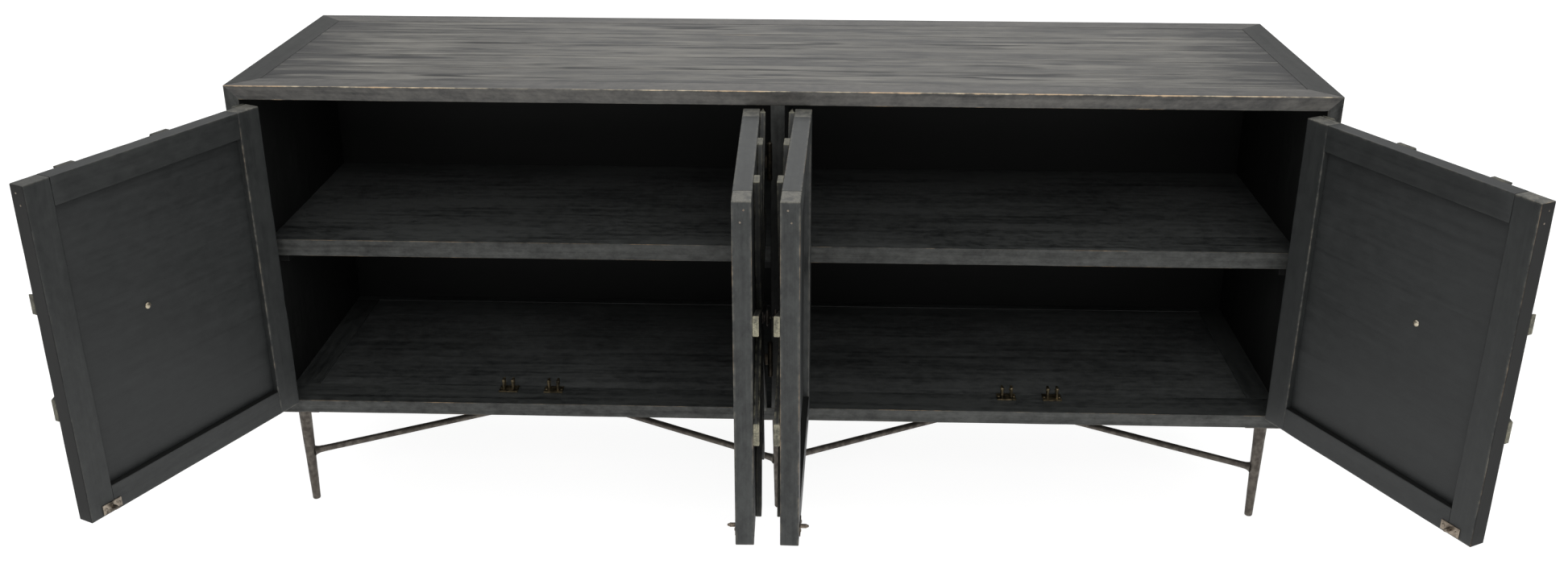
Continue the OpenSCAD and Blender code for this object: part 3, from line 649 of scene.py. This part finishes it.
# the strips are painted with the door but handled more, so that their ends are pale
strip_paint = rubbed_paint("rubbed_black_paint_strips", "#191a1a", "#333432", "#a39b85", "#9c9882",
                           streak=0.8, bare_mm=0.8, rough=0.55, gloss=0.32)
# the sunk panels are hardly touched: even, near black, a soft shine
panel_paint = rubbed_paint("black_paint_door_panels", "#1e2020", "#2d2f2f", "#8d8068", "#45464a",
                           streak=0.8, bare_mm=1.2, rough=0.5, gloss=0.38)
# stiles and rails are held and wiped: smoky charcoal with grey-tan arrises
frame_paint = rubbed_paint("rubbed_black_paint_doors", "#1f2121", "#3f4140", "#9c947f", "#66645c",
                           streak=0.85, bare_mm=0.95, rough=0.5, gloss=0.38)

door_w, door_h, stile, door_y0, door_y1, panel_y1 = 434, 550, 44, 9, 37, 27
pin_side, pin_front = 1.5, 6.0
doors = []
for n in (1, 2, 3, 4):
    joint = next(j for j in frame["joints"] if j["name"] == f"door{n}_swing")
    back, ahead = joint["range_deg"]
    side, angle = (1, ahead) if ahead > -back else (-1, -back)
    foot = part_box(f"door{n}_stiles")[0][2]
    px, py = joint["pos_m"][:2]
    doors.append(Matrix.Translation((px, py, foot)) @ Matrix.Diagonal((side, 1, 1, 1))
                 @ Matrix.Rotation(math.radians(-angle), 4, "Z")
                 @ Matrix.Translation((pin_side * MM, pin_front * MM, 0)))

# the pull across and up the door, and where the ten strips' lines reach its outline,
# counted round from the lower one of the free edge
pull = np.array([262.5, 296.0])
strip_w, strip_t = 30.0, 9.0
low_v, high_v, outer_u, inner_u = 187.5, 362.5, 341.5, 170.5
ends = np.array([[door_w, low_v], [door_w, high_v], [outer_u, door_h], [inner_u, door_h], [0, door_h],
                 [0, high_v], [0, low_v], [0, 0], [inner_u, 0], [outer_u, 0]])
aim = np.arctan2(ends[:, 1] - pull[1], ends[:, 0] - pull[0])
aim = np.where(aim < aim[0] - 1e-6, aim + 2 * np.pi, aim)


def strip(k, seed, used):
    """One strip of the fan. It is a board as long as the line from the pull to the door's
    edge. Across its width, the inner end runs back to the two mitres with its neighbours,
    which leave the pull halfway between their lines, and the outer end runs out to where
    each fibre meets the door's outline."""
    a = aim[k]
    before = aim[k - 1] - (2 * np.pi if k == 0 else 0)
    after = aim[(k + 1) % len(aim)] + (2 * np.pi if k == len(aim) - 1 else 0)
    ux, uz = np.cos(a), np.sin(a)
    reach = np.hypot(*(ends[k] - pull))

    def lay(co):
        s, across = co[:, 0], co[:, 2]
        lean = np.where(across > 0, 1 / np.tan((after - a) / 2), 1 / np.tan((a - before) / 2))
        start = np.abs(across) * lean
        px, pz = pull[0] - across * uz, pull[1] + across * ux
        to_x = ((door_w if ux > 0 else 0) - px) / (ux if abs(ux) > 1e-9 else 1e-9)
        to_z = ((door_h if uz > 0 else 0) - pz) / (uz if abs(uz) > 1e-9 else 1e-9)
        stop = np.minimum(to_x, to_z)
        u = s / reach
        t = s + (1 - u) * start + u * (stop - reach)
        return np.stack([px + t * ux, co[:, 1], pz + t * uz], 1)

    return board((0, 0, -strip_w / 2), (reach, strip_t, strip_w / 2), "x", soft=1.5, soft_end=1.3,
                 seed=seed, wear=used, joint=("x-",), warp=lay)


for n, place in enumerate(doors, 1):
    body, s = f"door{n}", 100 * n
    # the two middle doors' frames and strips are rubbed palest, the two outer doors' darker
    used, worn = ((0.35, 0.5), (1.0, 1.15), (1.0, 1.15), (0.6, 0.35))[n - 1]
    # the free stile's and the rails' faces towards the sunk panel, and the outer doors' free edges, take the
    # darker paint: painted shade
    joined([board((0, door_y0, 0), (stile, door_y1, door_h), "z", soft=1.2, soft_end=1.9, seed=s + 1,
                  wear=0.9, joint=("x-",), dents=7, rub=worn),
            board((door_w - stile, door_y0, 0), (door_w, door_y1, door_h), "z", soft=1.2, soft_end=1.9,
                  seed=s + 2, wear=1.1 if n > 1 else used, joint=("x-",), dents=9, rub=worn,
                  dark=("x-",) if n in (2, 3) else ("x-", "x+"))],
           f"{body}_stile_boards", frame_paint, body, [f"{body}_stiles"], place=place,
           other=shaded_black_paint)
    joined([board((stile, door_y0, z), (door_w - stile, door_y1, z + stile), "x", soft=1.1, soft_end=0.2,
                  seed=s + 3 + k, wear=0.8 * used, joint=("x-", "x+", "z-" if k else "z+"), dents=5,
                  rub=worn, dark=("z-" if k else "z+",))
            for k, z in enumerate((0, door_h - stile))],
           f"{body}_rail_boards", frame_paint, body, [f"{body}_rails"], place=place,
           other=shaded_black_paint)
    joined([board((stile, door_y0, stile), (door_w - stile, panel_y1, door_h - stile), "x", soft=0.4,
                  soft_end=0.4, seed=s + 5, wear=0.3, joint=("x-", "x+", "z-", "z+"), dents=0)],
           f"{body}_panel_board", panel_paint, body, [f"{body}_panel"], place=place)
    joined([strip(k, s + 10 + k, used * (1.0 if k < 2 else 0.35)) for k in range(10)],
           f"{body}_strips", strip_paint, body, [f"{body}_rays"], place=place)

# ----------------------------------------------------------- the iron base
# Six tapered round legs, forged and ground, and two pairs of crossed rods
# between them. Each rod's end is brazed to a leg with a small fillet, and the
# bare iron is waxed: brown-grey with paler rubbed sides.


def iron_bar(a, b, radius, seed, turn=20, step=7.0):
    """A round bar between two points in millimetres. Circles are carried along the line;
    their radius is a function of the distance along it, with a hammered unevenness of a
    few hundredths, and both ends are closed on the middle."""
    a, b = np.array(a, float), np.array(b, float)
    run = np.linalg.norm(b - a)
    axis = (b - a) / run
    s = np.unique(np.concatenate([np.linspace(0, run, int(run / step) + 2), [0.6, 1.6, 3, 5, 8],
                                  run - np.array([0.6, 1.6, 3, 5, 8])]))
    side = np.cross(axis, [0, 0, 1] if abs(axis[2]) < 0.9 else [1, 0, 0])
    side /= np.linalg.norm(side)
    up = np.cross(axis, side)
    th = np.linspace(0, 2 * np.pi, turn, endpoint=False)
    r = radius(s)[:, None] * (1 + 0.03 * (ripple(s, seed, 90)[:, None] - 0.5)
                              + 0.02 * (ripple(s[:, None] + 20 * np.cos(th), seed + 1, 60) - 0.5))
    circle = np.cos(th)[:, None] * side + np.sin(th)[:, None] * up
    pts = a + s[:, None, None] * axis + r[..., None] * circle
    return np.vstack([pts.reshape(-1, 3), [a, b]]), tube_faces(len(s), turn)


def waxed_iron(name, dark, pale, cast, rough):
    """Metal under wax or tarnish: dark in the hollows, rubbed paler in soft spots about a
    centimetre wide, with broad patches of a third tone and hammer marks in the bump."""
    m, t = new_finish(name)
    at = add(t, "TexCoord", give="Object")
    spots = add(t, "TexNoise", {"Vector": at, "Scale": 90.0, "Detail": 3.0, "Roughness": 0.55})
    broad = add(t, "TexNoise", {"Vector": at, "Scale": 14.0, "Detail": 3.0, "Roughness": 0.55})
    pits = add(t, "TexNoise", {"Vector": at, "Scale": 600.0, "Detail": 3.0, "Roughness": 0.6})
    f = add(t, "MapRange", {0: spots, 1: 0.38, 2: 0.66, 3: 0.0, 4: 1.0})
    g = add(t, "MapRange", {0: broad, 1: 0.38, 2: 0.66, 3: 0.0, 4: 1.0})
    colour = add(t, "Mix", {0: f, 6: linear(dark), 7: linear(pale)}, 2, data_type="RGBA")
    colour = add(t, "Mix", {0: add(t, "Math", {0: g, 1: 0.5}, operation="MULTIPLY"), 6: colour,
                            7: linear(cast)}, 2, data_type="RGBA")
    rough_map = add(t, "MapRange", {0: spots, 1: 0.3, 2: 0.7, 3: rough + 0.12, 4: rough - 0.06})
    height = add(t, "Math", {0: pits, 1: 0.3, 2: spots}, operation="MULTIPLY_ADD")
    bump = add(t, "Bump", {"Height": height, "Strength": 0.4, "Distance": 0.0005})
    shade = add(t, "BsdfPrincipled", {"Base Color": colour, "Metallic": 0.85, "Roughness": rough_map,
                                      "Normal": bump})
    add(t, "OutputMaterial", {"Surface": shade})
    return m


# hand-forged iron under furniture wax: dull brown-grey, paler where it was ground
iron = waxed_iron("waxed_forged_iron", "#4a4541", "#69645d", "#57514a", rough=0.5)


def plain_piece(parts, name, finish, body, nodes, place=None):
    """One riding piece from several metal parts; with no nodes it is added to the CAD ones."""
    piece = mesh_piece(name, *stacked(parts, place), finish)
    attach(piece, body)
    if nodes:
        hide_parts(*nodes)
    return piece


# a leg's radius at the foot and at the box's underside, its length, and that underside's height
foot_r, head_r, leg_h, box_under = 7.0, 11.2, 190.0, 194.0
leg_mid = {}


def taper(s):
    """Radius grows evenly from foot to head, and the foot's rim is turned over in 2.5 mm."""
    rim = np.sqrt(np.clip(1 - np.clip(1 - s / 2.5, 0, 1) ** 2, 0.25, 1))
    return (foot_r + (head_r - foot_r) * s / box_under) * rim


for k, name in enumerate(("front_left", "front_mid", "front_right", "back_left", "back_mid", "back_right")):
    lo, hi = (np.array(v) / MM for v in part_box(f"leg_{name}"))
    cx, cy = (lo + hi)[:2] / 2
    leg_mid[name] = np.array([cx, cy])
    plain_piece([iron_bar((cx, cy, 0), (cx, cy, leg_h), taper, 80 + k, turn=28)],
                f"leg_{name}_bar", iron, "cabinet", [f"leg_{name}"])

# a rod's radius and height, how deep it enters a leg, and the size of the braze round it
rod_r, rod_z, bite = 6.0, 100.0, 1.2
fillet, fade = 4.2, 4.5


def rod_between(a, b, weld_a, weld_b, seed):
    """A rod at one height from a to b; weld_a and weld_b say how much braze each end has."""
    a, b = np.append(a, rod_z), np.append(b, rod_z)
    run = np.linalg.norm(b - a)

    def flare(s):
        """The rod's radius, and at each brazed end a fillet that fades with the distance."""
        return rod_r + fillet * (weld_a * np.exp(-s / fade) + weld_b * np.exp(-(run - s) / fade))

    return iron_bar(a, b, flare, seed, step=9.0)


for s in ("left", "right"):
    outer_f, outer_b = leg_mid[f"front_{s}"], leg_mid[f"back_{s}"]
    mid_f, mid_b = leg_mid["front_mid"], leg_mid["back_mid"]
    skin = foot_r + (head_r - foot_r) * rod_z / box_under - bite
    for part, (p, q) in (("a", (outer_f, mid_b)), ("b", (mid_f, outer_b))):
        way = (q - p) / np.linalg.norm(q - p)
        if part == "a":
            bars = [rod_between(p + way * skin, q - way * skin, weld_a=1, weld_b=1, seed=90)]
        else:
            # the second rod is cut in two and butts on the first, a little into its skin
            crossing = 2 * math.atan2(abs(way[1]), abs(way[0]))
            middle, across = (p + q) / 2, rod_r / math.sin(crossing) * 0.7
            bars = [rod_between(p + way * skin, middle - way * across, weld_a=1, weld_b=0.35, seed=92),
                    rod_between(middle + way * across, q - way * skin, weld_a=0.35, weld_b=1, seed=93)]
        plain_piece(bars, f"rod_{s}_{part}_bar", iron, "cabinet", [f"rod_{s}_{part}"])

frame["nodes"]["leg_plates"].data.materials.clear()
frame["nodes"]["leg_plates"].data.materials.append(iron)

# ------------------------------------------------------ hinges, pulls, catches
# Blackened steel butt hinges, an iron knob in the middle of each fan held by a
# nickel screw from inside, and brass ball catches on the bottom with a tongue on
# each door.

# oiled black steel: nearly black, brown where it rubs
steel = waxed_iron("blackened_hinge_steel", "#26241f", "#5d564b", "#4a4032", rough=0.42)
# brass gone brown in a cupboard, and the same metal rubbed grey-gold by use
brass = waxed_iron("aged_brass_catches", "#23211a", "#96876a", "#3f392b", rough=0.36)
worn_brass = waxed_iron("worn_brass_tongues", "#4a443d", "#a3988a", "#75675a", rough=0.36)
# nickel plate: pale and warm, the brightest spot on a door
nickel = waxed_iron("nickel_screw", "#8f887a", "#d8d0bd", "#b8a888", rough=0.28)

for n in (1, 2, 3, 4):
    for node in (f"hinge{n}_fixed", f"door{n}_hinge"):
        frame["nodes"][node].data.materials.clear()
        frame["nodes"][node].data.materials.append(steel)


def turned(profile, centre, axis, turn=28):
    """A solid of revolution: radius and height pairs in millimetres, carried round an axis
    that points along +x, +y, +z or their opposites, from the given centre."""
    rad, h = np.array(profile, float).T
    th = np.linspace(0, 2 * np.pi, turn, endpoint=False)
    d = {"x": 0, "y": 1, "z": 2}[axis[1]]
    sign = 1 if axis[0] == "+" else -1
    e = np.eye(3)
    w, u = sign * e[d], e[(d + 1) % 3]
    v = np.cross(w, u)
    centre, circle = np.array(centre, float), np.cos(th)[:, None] * u + np.sin(th)[:, None] * v
    pts = centre + h[:, None, None] * w + rad[:, None, None] * circle
    return np.vstack([pts.reshape(-1, 3), [centre + h[0] * w, centre + h[-1] * w]]), tube_faces(len(h), turn)


def slab(lo, hi, soft, seed=3):
    """A small metal plate: a board with no wear map, for its points and faces only."""
    b = board(lo, hi, "x", soft=soft, soft_end=soft, seed=seed, dents=0)
    return b["co"], b["quads"]


arc = np.linspace(0, np.pi / 2, 7)
knob_profile = ([(0.5, 0), (8.6, 0), (9.0, 0.5), (9.0, 1.2), (7.2, 2.0), (5.4, 2.7), (5.0, 3.6), (5.2, 4.4),
                 (9.0, 5.4), (11.4, 6.2)]
                + [(13 - 1.4 * (1 - math.cos(a)), 7.6 + 1.2 * math.sin(a)) for a in np.linspace(-1.2, 1.3, 7)]
                + [(11.0, 10.1), (8.0, 10.9), (4.0, 11.35), (0.5, 11.5)])
screw_r, screw_h = 5.2, 1.9
dome = [(screw_r * math.cos(a), 0.5 + screw_h * math.sin(a)) for a in arc[1:-1]]
screw_profile = [(2.0, -40), (2.0, 0), (screw_r, 0), (screw_r, 0.5)] + dome + [(0.3, 2.4)]
pin_profile = [(1.5, -0.6), (1.5, 0.05), (1.1, 0.12), (0.3, 0.14)]
tip_profile = [(3.0, 0), (3.1, 0.6), (2.6, 2.0), (1.9, 3.6), (1.3, 4.7), (0.4, 5.0)]
head_profile = [(2.8, 0), (2.7, 0.5), (2.2, 0.95), (1.2, 1.2), (0.3, 1.25)]
# the tongue across and up the door, half of its plate, and its screws' distance from it
tongue_u, tongue_v, plate, screw_off = 395.5, 11, 17, 12
for n, place in enumerate(doors, 1):
    body = f"door{n}"
    plain_piece([turned(knob_profile, (pull[0], 0, pull[1]), "-y", turn=36)], f"{body}_pull", iron, body,
                [f"{body}_knob"], place=place)
    plain_piece([turned(screw_profile, (pull[0], panel_y1, pull[1]), "+y")],
                f"{body}_pull_screw", nickel, body, [f"{body}_screw"], place=place)
    plain_piece([turned(pin_profile, (door_w, y, z), "+x", turn=12)
                 for y, z in ((20, door_h - 13), (25, door_h - 31))],
                f"{body}_frame_pins", worn_brass, body, [], place=place)
    plain_piece([slab((tongue_u - plate, door_y1, tongue_v - 8),
                      (tongue_u + plate, door_y1 + 1.6, tongue_v + 8), soft=0.4),
                 slab((tongue_u - 2, door_y1 + 1, tongue_v - 3), (tongue_u + 2, door_y1 + 10, tongue_v + 3),
                      soft=0.5),
                 turned(tip_profile, (tongue_u, door_y1 + 9, tongue_v), "+y", turn=20),
                 turned(head_profile, (tongue_u - screw_off, door_y1 + 1.5, tongue_v), "+y", turn=18),
                 turned(head_profile, (tongue_u + screw_off, door_y1 + 1.5, tongue_v), "+y", turn=18)],
                f"{body}_catch_tongue", worn_brass, body, [f"{body}_strike"], place=place)

# each catch is a plate with two posts, a sprung ball through each, and two screws
lo, hi = (np.array(v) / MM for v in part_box("catches"))
post_x, post_half, post_d, post_top, ball_z, screw_x = 8.2, 2.0, 6.5, 21.8, 17, 13.4
ball_profile = [(4.2, 0), (4.4, 0.4), (4.4, 4.6), (3.6, 5.4), (2.2, 5.7), (1.3, 5.8), (1.2, 6.2),
                (0.9, 6.7), (0.2, 7.0)]
floor_screw = [(3.2, 0), (3.1, 0.6), (2.5, 1.2), (1.2, 1.6), (0.3, 1.65)]
parts = []
for n in (1, 2, 3, 4):
    joint = next(j for j in frame["joints"] if j["name"] == f"door{n}_swing")
    side = 1 if joint["range_deg"][1] > -joint["range_deg"][0] else -1
    cx, cy, cz = joint["pos_m"][0] / MM + side * (tongue_u + pin_side), (lo[1] + hi[1]) / 2, lo[2]
    parts.append(slab((cx - plate, lo[1], cz), (cx + plate, hi[1], cz + 2), soft=0.5))
    for s in (-1, 1):
        post = cx + s * post_x
        parts += [slab((post - post_half, cy - post_d, cz + 1.5),
                       (post + post_half, cy + post_d, cz + post_top), soft=0.9),
                  turned(ball_profile, (cx + s * 11, cy, cz + ball_z), "-x" if s > 0 else "+x", turn=20),
                  turned(floor_screw, (cx + s * screw_x, cy, cz + 1.9), "+z", turn=18)]
plain_piece(parts, "ball_catches", brass, "cabinet", ["catches"])
